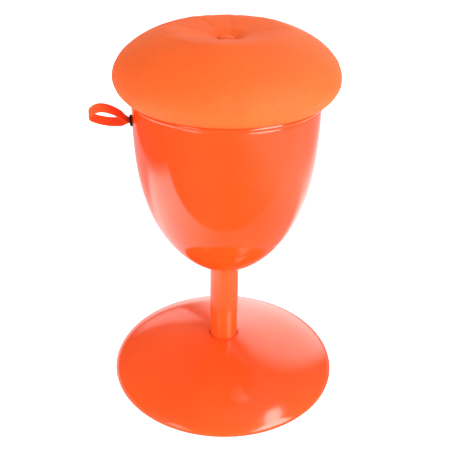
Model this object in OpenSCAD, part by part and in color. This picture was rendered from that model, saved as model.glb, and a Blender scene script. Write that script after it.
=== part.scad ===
// Height-adjustable swivel stool: a round upholstered seat on a goblet-shaped bowl,
// carried by a gas lift on a weighted dome base. A webbing loop at the side pulls the
// lever that opens the gas lift's valve.
// Millimetres, +Z up. The origin is the centre of the base on the floor, and the
// pull strap points along -X. Drawn at the top of the lift's travel.

/* [Base] */
// Diameter of the base dome at the floor
base_d = 400; // [380:1:440]
// Height of the base dome at its centre
dome_h = 68; // [64:1:76]
// Thickness of the steel ballast plate
ballast_t = 8; // [5:0.5:9]

/* [Gas lift] */
// Outer diameter of the fixed column tube
column_d = 50; // [50:0.1:50.4]
// Height of the column tube's top above the floor
column_top = 318; // [316:1:319]
// Height that the seat can come down from its highest place
lift_travel = 130; // [90:1:130]

/* [Bowl] */
// Diameter of the bowl at its rim
bowl_d = 295; // [290:1:300]
// Height of the bowl's rim above the floor
rim_z = 512; // [512:1:514]
// Height of the bowl, from its rim down to where its curve would meet the axis
bowl_h = 304; // [296:1:306]
// Height of the seam between the bowl and its lower cap
seam_z = 291; // [285:1:300]
// Thickness of the bowl's wall
wall = 3; // [2.4:0.1:3.4]

/* [Cushion] */
// Diameter of the cushion at its widest
cushion_d = 346; // [340:1:350]
// Height of the cushion's widest line above the bowl's rim
cushion_waist = 37.5; // [36:0.5:40]
// Height that the crown would have above its widest line without the dimple
crown_h = 83; // [80:1:86]
// Depth of the broad tufted dimple below that crown
dimple_depth = 37.5; // [34:0.5:40]
// Diameter of the covered button
button_d = 23.6; // [22:0.2:24]

/* [Pull strap] */
// Width of the webbing in the loop
strap_w = 20; // [16:0.5:22]
// Tilt of the loop about its own length, in degrees
strap_tilt = 23; // [0:1:24]
// Distance of the loop's far end from the stool's axis
strap_reach = 213; // [205:1:220]
// Turn of the release lever from rest to open, in degrees
lever_turn = 10; // [6:1:10]

/* [Hidden] */
$fn = 96;

orange = "#ff5a28";
fabric_orange = "#ff6c35";
steel = "#b9bcc0";
dark_steel = "#55585c";
black = "#1c1c1e";

gap = 0.05;        // assembly clearance between pieces of one body
run_gap = 0.08;    // radial running clearance between moving pieces
eps = 0.5;         // how far a cutting tool runs past a face

// Base
base_r = base_d / 2;
dome_wall = 2;
dome_lip_z = 3;                     // the dome's vertical lip ends here
dome_lip_gap = 0.6;                 // lip's lower edge above the floor
dome_power = 0.57;                  // fullness of the dome's curve
dome_hole_r = column_d / 2 + 0.9;
pad_t = 3;                          // floor pad, which covers the whole underside
pad_pocket_r = 14;                  // pocket in the pad for the rod's tail and clip
pad_skin = 1;                       // pad left below the pocket
pad_edge = 0.6;                     // clearance between the pad's edge and the dome
ballast_z = pad_t;
ballast_top = ballast_z + ballast_t;
hub_flange_r = 52;
hub_flange_t = 5;
hub_r = 30;
hub_top = 52;
hub_bolt_r = 4;
hub_bolt_pcd = 82;
hub_bolt_n = 4;

// Column and gas lift, all on the axis
column_r = column_d / 2;
column_wall = 2;
column_z = 5;
column_floor = 4;                   // thickness of the tube's bottom plate
bearing_z = column_z + column_floor;
washer_t = 1.5;
washer_r = 15;
ball_r = 1.95;
ball_room = 4;                      // height between the two washers
ball_n = 12;
ball_pitch_r = 10.5;
rod_tail_r = 4;
rod_r = 5;
rod_tail_z = 2.6;
rod_shoulder_z = bearing_z + 2 * washer_t + ball_room;
cylinder_z = column_z + 30 + lift_travel;   // lower end, leaving room to come down
piston_h = 10;
gland_h = 18;
piston_z = cylinder_z + gland_h + 3;
clip_z = 3.6;
clip_t = 1.2;
cylinder_r = 14;
cylinder_bore_r = 12.2;
cylinder_top = rim_z - 20;
taper_len = 46;
taper_drop = 1;                     // the taper's loss of radius over its length
cylinder_cap = 22;                  // solid top end of the gas cylinder
valve_r = 4;
valve_z = cylinder_top - cylinder_cap - 4;
valve_top = cylinder_top + 6;
bush_h = 80;
bush_flange_t = 2;

// Seat mechanism, under the board
plate_t = 3;
plate_x = 150;
plate_y = 120;
plate_z = rim_z - plate_t;
cheek_in = 22;
cheek_t = 3;
box_z = rim_z - 59;                 // underside of the bracket's lower plate
socket_r = 19;
socket_z = box_z - 1;
socket_top = cylinder_top - 2;
plate_bolt_r = 3;
plate_bolt_x = 62;
plate_bolt_y = 46;

// Release lever: turns about +Y at the pivot, its crossbar presses the valve button
// and its fork pulls on the strap's pin
pivot = [-24, rim_z - 9];
bar_r = 4;
bar = [0, valve_top + bar_r + 0.15];
arm_len = 45;
pull_slope = 12;                    // rise of the strap from the lever to the grommet
arm_angle = pull_slope - lever_turn / 2;
fork = pivot + arm_len * [-sin(arm_angle), -cos(arm_angle)];
lever_in = 8;
lever_t = 2.5;
lever_boss_r = 5.5;
pivot_pin_r = 3;
fork_pin_r = 2.5;

// Bowl and rim
bowl_r = bowl_d / 2;
flange_t = 3.2;
flange_in_r = 128;
screw_n = 6;
screw_pcd = 272;
screw_r = 2;
cap_hole_r = column_r + 2.6;
bush_in_r = column_r + 0.1;
trim_r = 5.2;                       // radius of the rim bead's round face
trim_out = 2.1;                     // how far the bead stands out from the bowl
trim_h = 7.8;                       // height of the bead above the bowl's rim
trim_in_r = bowl_r - 1.2;
trim_joint = 0.5;                   // width of the butt joint between the bead's ends
trim_joint_at = 260.8;              // where the ends meet, degrees from +X

// Seat board, foam, cover and button
board_r = bowl_r - 1.5;
board_t = 18;
board_z = rim_z + gap;
board_top = board_z + board_t;
cushion_z = rim_z + 8;              // underside of the cover's rim
cushion_r = cushion_d / 2;
waist_z = rim_z + cushion_waist;
cover_t = 2;
foam_gap = 0.3;
dimple_floor_r = 12.5;
dimple_reach = 95.5;                // radius at which the dimple fades into the crown
dimple_power = 1.2;
crown_power = 0.991;
under_power = 1.07;
under_h = 75;
button_h = 7;
tie_r = 1.2;
tie_anchor_r = 8;

// Strap and grommet
grommet_z = fork[1] + (bowl_r - abs(fork[0])) * tan(pull_slope);
grommet_flange_r = 9.4;
grommet_hole_r = 6.8;
grommet_barrel_r = 7.9;
grommet_proud = 3.2;
strap_t = 1.6;
tail_w = 11;
tail_t = 2.8;
loop_r = 12.4;                      // outer radius of the loop's round end
loop_rise = 12.5;                      // loop's round end above its root
loop_root_x = -bowl_r - grommet_proud - 2;
loop_root_z = fork[1] + (abs(loop_root_x) - abs(fork[0])) * tan(pull_slope);
loop_x = -strap_reach + loop_r;
loop_z = loop_root_z + loop_rise;

// Outlines, as [radius, height] points -------------------------------------------

// Bowl: r = R (1 - t^3)^(1/1.6), where t runs from 0 at the rim to 1 at the axis
function bowl_radius(z, inset = 0) =
  let (t = (rim_z - z) / (bowl_h - inset))
  (bowl_r - inset) * pow(max(1 - pow(t, 3), 0), 1 / 1.6);
function bowl_curve(z0, z1, inset = 0, steps = 20) =
  [for (i = [0:steps]) let (z = z0 + (z1 - z0) * pow(i / steps, 1.6)) [bowl_radius(z, inset), z]];

// Dome: rises steeply at its lip and flattens towards the middle
function dome_height(r, radius) = dome_lip_z + dome_h * pow(max(1 - r / radius, 0), dome_power);
function dome_curve(r_in, radius, drop, steps = 24) =
  [for (i = [0:steps]) let (r = radius - (radius - r_in) * pow(i / steps, 2)) [r, dome_height(r, radius) - drop]];

// Cushion: two superellipse quarters, with the tufted dimple sunk in its crown
function crown_z(r, inset) =
  let (c = pow(min(r / (cushion_r - inset), 1), 1 / crown_power))
  waist_z + (crown_h - inset) * pow(sqrt(max(1 - c * c, 0)), crown_power);
function dimple(r) =
  dimple_depth * pow(max(1 - max(r, dimple_floor_r) / dimple_reach, 0), dimple_power);
function crown_curve(inset) =
  [for (a = [0:6:54]) let (r = (cushion_r - inset) * pow(cos(a), crown_power)) [r, crown_z(r, inset)]];
function dimple_curve(inset) =
  [for (r = [94:-4:14]) [r, crown_z(r, inset) - dimple(r)]];
function under_curve(inset) =
  [for (a = [24:-6:6]) [(cushion_r - inset) * pow(cos(a), under_power), waist_z - (under_h - inset) * pow(sin(a), under_power)]];
function cushion_outline(inset) = concat(
  [[0, cushion_z + inset], [cushion_r - 22 - inset, cushion_z + inset]],
  under_curve(inset), crown_curve(inset), dimple_curve(inset),
  [[dimple_floor_r, dimple_z - inset], [0, dimple_z - inset]]);

dimple_z = crown_z(dimple_floor_r, 0) - dimple(dimple_floor_r);

// Shared shapes -------------------------------------------------------------------

module ring(r_out, r_in, z0, z1) {
  translate([0, 0, z0])
    difference() {
      cylinder(r = r_out, h = z1 - z0);
      translate([0, 0, -eps]) cylinder(r = r_in, h = z1 - z0 + 2 * eps);
    }
}

module around(n, r, turn = 0) {
  for (i = [0:n - 1]) rotate([0, 0, turn + i * 360 / n]) translate([r, 0, 0]) children();
}

module at_plate_bolts() {
  for (x = [-1, 1], y = [-1, 1]) translate([x * plate_bolt_x, y * plate_bolt_y, 0]) children();
}

// A cylinder along Y, centred on y = 0, at [x, z]
module cross_pin(at, r, length) {
  translate([at[0], 0, at[1]]) rotate([90, 0, 0]) cylinder(r = r, h = length, center = true);
}

// A flat outline in the XZ plane, thick along Y and centred on y = y0
module xz_plate(y0, t) {
  translate([0, y0 + t / 2, 0]) rotate([90, 0, 0]) linear_extrude(t) children();
}

// Base ----------------------------------------------------------------------------

module base_dome() {
  color(orange)
    rotate_extrude()
      difference() {
        polygon(concat([[dome_hole_r, dome_lip_gap], [base_r, dome_lip_gap]], dome_curve(dome_hole_r, base_r, 0)));
        polygon(concat(
          [[0, -eps], [base_r - dome_wall, -eps]],
          dome_curve(1, base_r - dome_wall, dome_wall), [[0, dome_h]]));
      }
}

module ballast_plate() {
  color(dark_steel)
    difference() {
      rotate_extrude()
        polygon([
          [column_r + 1, ballast_z], [base_r - 6, ballast_z], [base_r - 6, ballast_z + 2],
          [base_r - 14, ballast_top], [column_r + 1, ballast_top]]);
      around(hub_bolt_n, hub_bolt_pcd / 2, 45) {
        translate([0, 0, ballast_z - eps]) cylinder(r = hub_bolt_r + gap, h = ballast_t + 2 * eps);
        translate([0, 0, ballast_z - eps]) cylinder(r = hub_bolt_r + 3.2, h = 3 + eps);
      }
    }
}

module floor_pad() {
  color(black)
    difference() {
      cylinder(r = base_r - dome_wall - pad_edge, h = pad_t);
      translate([0, 0, pad_skin]) cylinder(r = pad_pocket_r, h = pad_t);
    }
}

module base_hub() {
  color(dark_steel)
    difference() {
      union() {
        translate([0, 0, ballast_top]) cylinder(r = hub_flange_r, h = hub_flange_t);
        translate([0, 0, ballast_top]) cylinder(r = hub_r, h = hub_top - ballast_top);
      }
      translate([0, 0, ballast_top - eps]) cylinder(r = column_r + gap, h = hub_top);
      around(hub_bolt_n, hub_bolt_pcd / 2, 45)
        translate([0, 0, ballast_top - eps]) cylinder(r = hub_bolt_r + gap, h = hub_flange_t + 2 * eps);
    }
}

module hub_bolts() {
  color(steel)
    around(hub_bolt_n, hub_bolt_pcd / 2, 45) {
      translate([0, 0, ballast_z + 0.2]) cylinder(r = hub_bolt_r + 3, h = 2.7);
      translate([0, 0, ballast_z + 2.8]) cylinder(r = hub_bolt_r, h = ballast_t + hub_flange_t + 6);
    }
}

module hub_nuts() {
  color(steel)
    around(hub_bolt_n, hub_bolt_pcd / 2, 45)
      translate([0, 0, ballast_top + hub_flange_t])
        difference() {
          cylinder(r = 7, h = 6, $fn = 6);
          translate([0, 0, -eps]) cylinder(r = hub_bolt_r + gap, h = 6 + 2 * eps);
        }
}

// Column and gas lift -------------------------------------------------------------

module column_tube() {
  color(orange)
    difference() {
      translate([0, 0, column_z]) cylinder(r = column_r, h = column_top - column_z);
      translate([0, 0, column_z + column_floor]) cylinder(r = column_r - column_wall, h = column_top);
      translate([0, 0, column_z - eps]) cylinder(r = rod_tail_r + run_gap, h = column_floor + 2 * eps);
    }
}

module guide_bush() {
  bush_r = column_r - column_wall - gap;
  color(black) {
    ring(bush_r, cylinder_r + run_gap, column_top - bush_h, column_top);
    ring(column_r, cylinder_r + run_gap, column_top, column_top + bush_flange_t);
  }
}

module bearing_seat() {
  color(steel) ring(washer_r, rod_tail_r + 0.3, bearing_z, bearing_z + washer_t);
}

module bearing_balls() {
  color(steel)
    around(ball_n, ball_pitch_r)
      translate([0, 0, bearing_z + washer_t + ball_room / 2]) sphere(r = ball_r, $fn = 32);
}

module bearing_cap() {
  color(steel) ring(washer_r, rod_tail_r + gap, rod_shoulder_z - washer_t, rod_shoulder_z);
}

module piston_rod() {
  color(steel) {
    translate([0, 0, rod_tail_z]) cylinder(r = rod_tail_r, h = rod_shoulder_z - rod_tail_z);
    translate([0, 0, rod_shoulder_z]) cylinder(r = rod_r, h = piston_z + piston_h - rod_shoulder_z);
  }
}

module rod_clip() {
  color(steel)
    difference() {
      ring(rod_tail_r + 4, rod_tail_r + gap, clip_z, clip_z + clip_t);
      translate([0, -1.5, clip_z - eps]) cube([rod_tail_r + 6, 3, clip_t + 2 * eps]);
    }
}

module piston() {
  color(black) ring(cylinder_bore_r - run_gap, rod_r + gap, piston_z, piston_z + piston_h - 1);
}

module gas_cylinder() {
  taper_z = cylinder_top - taper_len;
  color(black)
    difference() {
      union() {
        translate([0, 0, cylinder_z]) cylinder(r = cylinder_r, h = taper_z - cylinder_z);
        translate([0, 0, taper_z]) cylinder(r1 = cylinder_r, r2 = cylinder_r - taper_drop, h = taper_len);
      }
      translate([0, 0, cylinder_z - eps])
        cylinder(r = cylinder_bore_r, h = cylinder_top - cylinder_cap - cylinder_z + eps);
      translate([0, 0, cylinder_z]) cylinder(r = valve_r + run_gap, h = cylinder_top);
    }
}

module rod_gland() {
  color(steel) ring(cylinder_bore_r - gap, rod_r + run_gap, cylinder_z, cylinder_z + gland_h);
}

module valve_button() {
  color(steel) translate([0, 0, valve_z]) cylinder(r = valve_r, h = valve_top - valve_z);
}

// Seat mechanism ------------------------------------------------------------------

module taper_socket() {
  taper_z = cylinder_top - taper_len;
  color(dark_steel)
    difference() {
      translate([0, 0, socket_z]) cylinder(r = socket_r, h = socket_top - socket_z);
      translate([0, 0, taper_z]) cylinder(r1 = cylinder_r + gap, r2 = cylinder_r - taper_drop + gap, h = taper_len);
    }
}

module mechanism_bracket() {
  color(dark_steel) {
    translate([0, 0, plate_z])
      difference() {
        linear_extrude(plate_t - gap) square([plate_x, plate_y], center = true);
        translate([0, 0, -eps]) cylinder(r = tie_anchor_r + 2, h = plate_t + 2 * eps);
        at_plate_bolts() translate([0, 0, -eps]) cylinder(r = plate_bolt_r + 0.2, h = plate_t + 2 * eps);
      }
    for (side = [-1, 1])
      xz_plate(side * (cheek_in + cheek_t / 2), cheek_t)
        difference() {
          polygon([
            [pivot[0] - 12, plate_z], [45, plate_z], [45, box_z], [-20, box_z],
            [-20, rim_z - 32], [pivot[0] - 12, rim_z - 20]]);
          translate(pivot) circle(r = pivot_pin_r + gap);
        }
    translate([0, 0, box_z])
      difference() {
        translate([-20, -cheek_in, 0]) cube([65, 2 * cheek_in, cheek_t]);
        translate([0, 0, -eps]) cylinder(r = socket_r + gap, h = cheek_t + 2 * eps);
      }
  }
}

// Side of the lever: bosses at the pivot, the crossbar and the fork, joined by arms
module lever_side() {
  arm = (fork - pivot) / norm(fork - pivot);
  across = [-arm[1], arm[0]] * 4.5;
  difference() {
    union() {
      translate(pivot) circle(r = lever_boss_r);
      translate(bar) circle(r = bar_r);
      translate(fork) circle(r = lever_boss_r);
      polygon([pivot + across, pivot - across, fork - across, fork + across]);
      polygon([pivot + [0, lever_boss_r - 1], bar + [0, bar_r], bar - [0, bar_r], pivot - [0, lever_boss_r - 1]]);
    }
    translate(pivot) circle(r = pivot_pin_r + run_gap);
    translate(fork) circle(r = fork_pin_r + gap);
  }
}

module release_lever() {
  color(steel) {
    for (side = [-1, 1]) xz_plate(side * (lever_in + lever_t / 2), lever_t) lever_side();
    cross_pin(bar, bar_r, 2 * lever_in + gap);
    translate([pivot[0] - 7, -lever_in - gap, (pivot[1] + fork[1]) / 2 - 6]) cube([2.5, 2 * (lever_in + gap), 12]);
  }
}

module strap_pin() {
  color(steel) cross_pin(fork, fork_pin_r, 2 * (lever_in + lever_t) + 2);
}

module lever_pin() {
  reach = cheek_in + cheek_t;
  color(steel) {
    cross_pin(pivot, pivot_pin_r, 2 * reach + 5);
    translate([pivot[0], -reach, pivot[1]]) rotate([90, 0, 0]) cylinder(r = 5, h = 2);
  }
}

module lever_pin_clip() {
  color(steel)
    translate([pivot[0], cheek_in + cheek_t + 1.2, pivot[1]])
      rotate([90, 0, 0])
        difference() {
          ring(5.5, pivot_pin_r + gap, 0, 1.1);
          translate([-1.6, 0, -eps]) cube([3.2, 7, 1.1 + 2 * eps]);
        }
}

// Strap and grommet ---------------------------------------------------------------

// Teardrop: a round end of radius r with its two tangents. The tangents of a smaller
// one run parallel to those of loop_r, so the band between them has an even thickness
module teardrop(r) {
  centre = [loop_x, loop_z];
  root = [loop_root_x, loop_root_z];
  span = norm(root - centre);
  lean = atan2(root[1] - centre[1], root[0] - centre[0]);
  touch = acos(loop_r / span);
  translate(centre) circle(r = r);
  polygon([
    centre, centre + r * [cos(lean + touch), sin(lean + touch)],
    centre + (root - centre) * r / loop_r, centre + r * [cos(lean - touch), sin(lean - touch)]]);
}

module pull_strap() {
  tail_len = norm([loop_root_x - 5, loop_root_z] - fork);
  color(fabric_orange) {
    translate([0, 0, loop_root_z])
      rotate([strap_tilt, 0, 0])
        translate([0, 0, -loop_root_z])
          xz_plate(0, strap_w)
            difference() {
              teardrop(loop_r);
              teardrop(loop_r - strap_t);
            }
    xz_plate(0, tail_w)
      difference() {
        union() {
          translate(fork) circle(r = fork_pin_r + 2.2);
          translate(fork) rotate(180 - pull_slope) translate([0, -tail_t / 2]) square([tail_len, tail_t]);
        }
        translate(fork) circle(r = fork_pin_r + 0.5);
      }
  }
}

module strap_grommet() {
  face = bowl_r + 0.15;
  color(black)
    translate([0, 0, grommet_z])
      rotate([0, -90, 0])
        rotate_extrude()
          polygon([
            [grommet_hole_r, bowl_r - wall - 2.6], [grommet_barrel_r + 1, bowl_r - wall - 2.6],
            [grommet_barrel_r + 1, bowl_r - wall - 0.7], [grommet_barrel_r, bowl_r - wall - 0.7],
            [grommet_barrel_r, face], [grommet_flange_r, face],
            [grommet_flange_r, face + 1.2], [grommet_flange_r - 0.9, face + grommet_proud - 0.5],
            [grommet_flange_r - 1.9, face + grommet_proud], [grommet_hole_r + 0.6, face + grommet_proud],
            [grommet_hole_r, face + grommet_proud - 0.8]]);
}

// Bowl ----------------------------------------------------------------------------

module grommet_hole() {
  translate([-bowl_r + 12, 0, grommet_z]) rotate([0, -90, 0]) cylinder(r = grommet_barrel_r + 0.15, h = 20);
}

module bowl_shell() {
  color(orange)
    difference() {
      rotate_extrude()
        difference() {
          polygon(concat([[0, rim_z], [0, seam_z]], bowl_curve(seam_z, rim_z)));
          polygon(concat(
            [[0, rim_z - flange_t], [0, seam_z - eps]],
            bowl_curve(seam_z - eps, rim_z - flange_t, wall)));
          translate([0, rim_z - flange_t - eps]) square([flange_in_r, flange_t + 2 * eps]);
        }
      grommet_hole();
      around(screw_n, screw_pcd / 2, 30)
        translate([0, 0, rim_z - flange_t - eps]) cylinder(r = screw_r + 0.2, h = flange_t + 2 * eps);
    }
}

module bowl_cap() {
  seam_gap = 0.25;
  bottom = rim_z - bowl_h;
  color(orange)
    rotate_extrude()
      difference() {
        polygon(concat([[0, seam_z - seam_gap], [0, bottom + 1]], bowl_curve(bottom + 1, seam_z - seam_gap)));
        polygon(concat(
          [[0, seam_z + eps], [0, bottom + wall + 1]], bowl_curve(bottom + wall + 1, seam_z + eps, wall)));
        square([cap_hole_r, seam_z]);
      }
}

module seam_ring() {
  z0 = seam_z - 9;
  z1 = seam_z + 11;
  color(black)
    rotate_extrude()
      polygon(concat(
        bowl_curve(z0, z1, wall + 0.2, 4),
        [for (i = [4:-1:0]) let (z = z0 + (z1 - z0) * i / 4) [bowl_radius(z, wall + 0.2) - 4, z]]));
}

module cap_bush() {
  z0 = rim_z - bowl_h + 6.4;
  color(black) {
    ring(cap_hole_r - gap, bush_in_r, z0, z0 + 14);
    ring(cap_hole_r + 4.5, bush_in_r, z0 + 7, z0 + 9.5);
  }
}

module bowl_screws() {
  color(steel)
    around(screw_n, screw_pcd / 2, 30) {
      translate([0, 0, rim_z - flange_t - 2.8]) cylinder(r = 4, h = 2.8);
      translate([0, 0, rim_z - flange_t - 0.1]) cylinder(r = screw_r, h = 16);
    }
}

module rim_trim() {
  color(orange)
    difference() {
      rotate_extrude()
        difference() {
          intersection() {
            translate([bowl_r + trim_out - trim_r, rim_z + 3.2]) circle(r = trim_r);
            translate([trim_in_r, rim_z - 1.2]) square([20, trim_h + 1]);
          }
          square([bowl_r + 0.12, rim_z + gap]);
        }
      rotate([0, 0, trim_joint_at]) translate([0, -trim_joint / 2, rim_z - 5]) cube([bowl_r + 10, trim_joint, 20]);
    }
}

// Seat ----------------------------------------------------------------------------

module seat_board() {
  color("#c9a26a")
    difference() {
      translate([0, 0, board_z]) cylinder(r = board_r, h = board_t);
      translate([0, 0, board_z - eps]) cylinder(r = tie_r + 0.3, h = board_t + 2 * eps);
      at_plate_bolts() {
        translate([0, 0, board_z - eps]) cylinder(r = plate_bolt_r + 1.2, h = board_t + 2 * eps);
        translate([0, 0, board_top - 1.6]) cylinder(r = 9.6, h = 2);
      }
      around(screw_n, screw_pcd / 2, 30)
        translate([0, 0, board_z - eps]) cylinder(r = screw_r + gap, h = 14);
    }
}

module tee_nuts() {
  color(steel)
    at_plate_bolts() {
      ring(plate_bolt_r + 1.1, plate_bolt_r + gap, board_z + 4, board_top - 0.2);
      ring(9.5, plate_bolt_r + gap, board_top - 1.5, board_top - 0.1);
    }
}

module plate_bolts() {
  color(steel)
    at_plate_bolts() {
      translate([0, 0, plate_z - 4]) cylinder(r = 5.2, h = 4, $fn = 6);
      translate([0, 0, plate_z - 0.1]) cylinder(r = plate_bolt_r, h = board_t + 1);
    }
}

module foam_core() {
  inset = cover_t + foam_gap;
  color("#e9dfa8")
    rotate_extrude()
      difference() {
        polygon(cushion_outline(inset));
        square([board_r + foam_gap, board_top + foam_gap]);
        square([tie_r + 0.4, dimple_z + eps]);
      }
}

module cushion_cover() {
  color(fabric_orange)
    rotate_extrude()
      difference() {
        polygon(cushion_outline(0));
        polygon(cushion_outline(cover_t));
        square([board_r + foam_gap, board_top + foam_gap]);
        square([tie_r + 0.4, dimple_z + eps]);
      }
}

module seat_button() {
  dome_r = (pow(button_d / 2, 2) + pow(button_h - 2, 2)) / (2 * (button_h - 2));
  color(fabric_orange)
    translate([0, 0, dimple_z + foam_gap])
      intersection() {
        cylinder(r = button_d / 2, h = button_h);
        translate([0, 0, button_h - dome_r]) sphere(r = dome_r);
      }
}

module button_tie() {
  color(black) translate([0, 0, rim_z - 4]) cylinder(r = tie_r, h = dimple_z + foam_gap - rim_z + 4);
}

module tie_anchor() {
  color(steel) ring(tie_anchor_r, tie_r + gap, rim_z - 2, rim_z);
}

base_dome();
ballast_plate();
floor_pad();
base_hub();
hub_bolts();
hub_nuts();
column_tube();
guide_bush();
bearing_seat();
piston_rod();
piston();
rod_clip();
bearing_balls();
bearing_cap();
gas_cylinder();
rod_gland();
valve_button();
taper_socket();
mechanism_bracket();
release_lever();
strap_pin();
lever_pin();
lever_pin_clip();
pull_strap();
strap_grommet();
bowl_shell();
bowl_cap();
seam_ring();
cap_bush();
bowl_screws();
rim_trim();
seat_board();
tee_nuts();
plate_bolts();
foam_core();
cushion_cover();
seat_button();
button_tie();
tie_anchor();
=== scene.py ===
"""Looks of a gas-lift swivel stool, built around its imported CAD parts. Metres, +Z up."""
import math
import random

import bmesh
import bpy
from mathutils import Matrix, Vector, kdtree


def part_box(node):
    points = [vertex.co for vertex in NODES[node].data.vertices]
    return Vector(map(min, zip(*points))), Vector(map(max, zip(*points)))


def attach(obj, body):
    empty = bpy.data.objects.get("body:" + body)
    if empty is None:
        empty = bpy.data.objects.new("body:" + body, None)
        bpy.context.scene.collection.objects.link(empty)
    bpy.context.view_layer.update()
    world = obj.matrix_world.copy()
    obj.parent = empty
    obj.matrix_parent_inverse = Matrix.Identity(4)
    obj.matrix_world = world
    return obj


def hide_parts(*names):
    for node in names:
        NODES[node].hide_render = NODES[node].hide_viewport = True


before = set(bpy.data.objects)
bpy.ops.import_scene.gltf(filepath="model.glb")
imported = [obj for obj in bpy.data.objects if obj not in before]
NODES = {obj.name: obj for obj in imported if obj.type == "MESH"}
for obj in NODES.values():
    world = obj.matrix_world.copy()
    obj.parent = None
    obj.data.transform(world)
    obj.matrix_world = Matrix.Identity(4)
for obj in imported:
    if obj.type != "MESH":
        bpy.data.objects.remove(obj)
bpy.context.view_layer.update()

TURN = 2 * math.pi

# Sizes read from the frame -------------------------------------------------------

BOWL_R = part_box("bowl_shell")[1].x
RIM_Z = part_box("bowl_shell")[1].z
SEAM_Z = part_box("bowl_shell")[0].z
CAP_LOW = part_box("bowl_cap")[0].z
BASE_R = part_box("base_dome")[1].x
COLUMN_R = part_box("column_tube")[1].x
COLUMN_LOW, COLUMN_HIGH = (corner.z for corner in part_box("column_tube"))
CUSHION_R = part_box("cushion_cover")[1].x
HEM_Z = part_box("cushion_cover")[0].z
BOARD_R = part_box("seat_board")[1].x
BUTTON_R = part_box("seat_button")[1].x
BUTTON_LOW, BUTTON_HIGH = (corner.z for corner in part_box("seat_button"))
GROMMET_LOW, GROMMET_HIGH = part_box("strap_grommet")
GROMMET_R = (GROMMET_HIGH.y - GROMMET_LOW.y) / 2
GROMMET_Z = (GROMMET_HIGH.z + GROMMET_LOW.z) / 2
PIN_LOW, PIN_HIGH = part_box("strap_pin")
STRAP_PIN = (PIN_LOW + PIN_HIGH) / 2

# Sizes of the design that no box gives ---------------------------------------------

WALL = 0.003
BOWL_H = 0.304            # bowl's height down to where its curve meets the axis
DOME_LIP = 0.003          # top of the dome's vertical lip
DOME_H = 0.068
DOME_POWER = 0.57
DOME_WALL = 0.002
WAIST_Z = RIM_Z + 0.0375  # the cushion's widest line
CROWN_H = 0.083
CROWN_POWER = 0.991
UNDER_H = 0.075
UNDER_POWER = 1.07
DIMPLE_DEPTH = 0.0375
DIMPLE_FLOOR = 0.0125     # radius of the dimple's flat floor
DIMPLE_REACH = 0.0955     # radius at which the dimple fades into the crown
DIMPLE_POWER = 1.2
PUFF_H = 0.0026           # how far the filling swells round the button
PUFF_R = 0.033

# Camera ----------------------------------------------------------------------------

CAMERA_OUT = 1.0463       # distance from the stool's axis
CAMERA_UP = 0.8598
CAMERA_AZIMUTH = math.radians(260)
CAMERA_PITCH = math.radians(28.612)
CAMERA_ROLL = math.radians(0.798)
CAMERA_LENS = 56.16

# Lighting directions are turned with the camera
FRONT = Vector((math.cos(CAMERA_AZIMUTH), math.sin(CAMERA_AZIMUTH), 0))
RIGHT = Vector((-FRONT.y, FRONT.x, 0))


def out_at(right, front, up):
    """A place given by its distances to the camera's right, towards the camera, and up."""
    return RIGHT * right + FRONT * front + Vector((0, 0, up))


def aim(position, target):
    """Placement of something at position whose local -Z looks at target."""
    turn = (target - position).to_track_quat("-Z", "Y")
    return Matrix.Translation(position) @ turn.to_matrix().to_4x4()


def add_camera():
    data = bpy.data.cameras.new("camera")
    data.lens = CAMERA_LENS
    data.sensor_width = 36
    data.clip_start = 0.05
    data.clip_end = 50
    camera = bpy.data.objects.new("camera", data)
    bpy.context.collection.objects.link(camera)
    place = FRONT * CAMERA_OUT + Vector((0, 0, CAMERA_UP))
    ahead = -FRONT * math.cos(CAMERA_PITCH) - Vector((0, 0, math.sin(CAMERA_PITCH)))
    camera.matrix_world = aim(place, place + ahead) @ Matrix.Rotation(CAMERA_ROLL, 4, "Z")
    bpy.context.scene.camera = camera


add_camera()

# Mesh helpers ------------------------------------------------------------------------


def add_object(name, bm, sharp=35):
    """Turns bm into an object: smooth, but with edges over sharp degrees kept crisp."""
    bmesh.ops.recalc_face_normals(bm, faces=bm.faces)
    for face in bm.faces:
        face.smooth = True
    for edge in bm.edges:
        if len(edge.link_faces) == 2 and edge.calc_face_angle(0) > math.radians(sharp):
            edge.smooth = False
    mesh = bpy.data.meshes.new(name)
    bm.to_mesh(mesh)
    bm.free()
    piece = bpy.data.objects.new(name, mesh)
    bpy.context.collection.objects.link(piece)
    return piece


def revolve(outline, segments, start=0.0, sweep=TURN):
    """Turns a closed outline of (radius, height) about Z, and caps it if sweep isn't a full turn."""
    bm = bmesh.new()
    whole = sweep >= TURN
    columns = []
    for i in range(segments if whole else segments + 1):
        angle = start + sweep * i / segments
        columns.append([
            bm.verts.new((r * math.cos(angle), r * math.sin(angle), z)) for r, z in outline])
    count = len(outline)
    for i in range(segments):
        one = columns[i]
        two = columns[(i + 1) % len(columns)]
        for j in range(count):
            k = (j + 1) % count
            bm.faces.new((one[j], two[j], two[k], one[k]))
    if not whole:
        bm.faces.new(columns[0])
        bm.faces.new(list(reversed(columns[-1])))
    bmesh.ops.remove_doubles(bm, verts=bm.verts, dist=1e-7)
    return bm


def rounded(corners, steps=5):
    """An outline from (x, y, radius) corners, each with its own fillet."""
    points = []
    count = len(corners)
    for i, (x, y, radius) in enumerate(corners):
        here = Vector((x, y))
        if radius <= 0:
            points.append((x, y))
            continue
        back = Vector(corners[i - 1][:2]) - here
        ahead = Vector(corners[(i + 1) % count][:2]) - here
        half = back.angle(ahead) / 2
        cut = min(radius / math.tan(half), back.length * 0.48, ahead.length * 0.48)
        radius = cut * math.tan(half)
        a = here + back.normalized() * cut
        b = here + ahead.normalized() * cut
        centre = here + (back.normalized() + ahead.normalized()).normalized() * radius / math.sin(half)
        for s in range(steps + 1):
            ray = (a - centre).lerp(b - centre, s / steps).normalized() * radius
            points.append(tuple(centre + ray))
    return points


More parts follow.
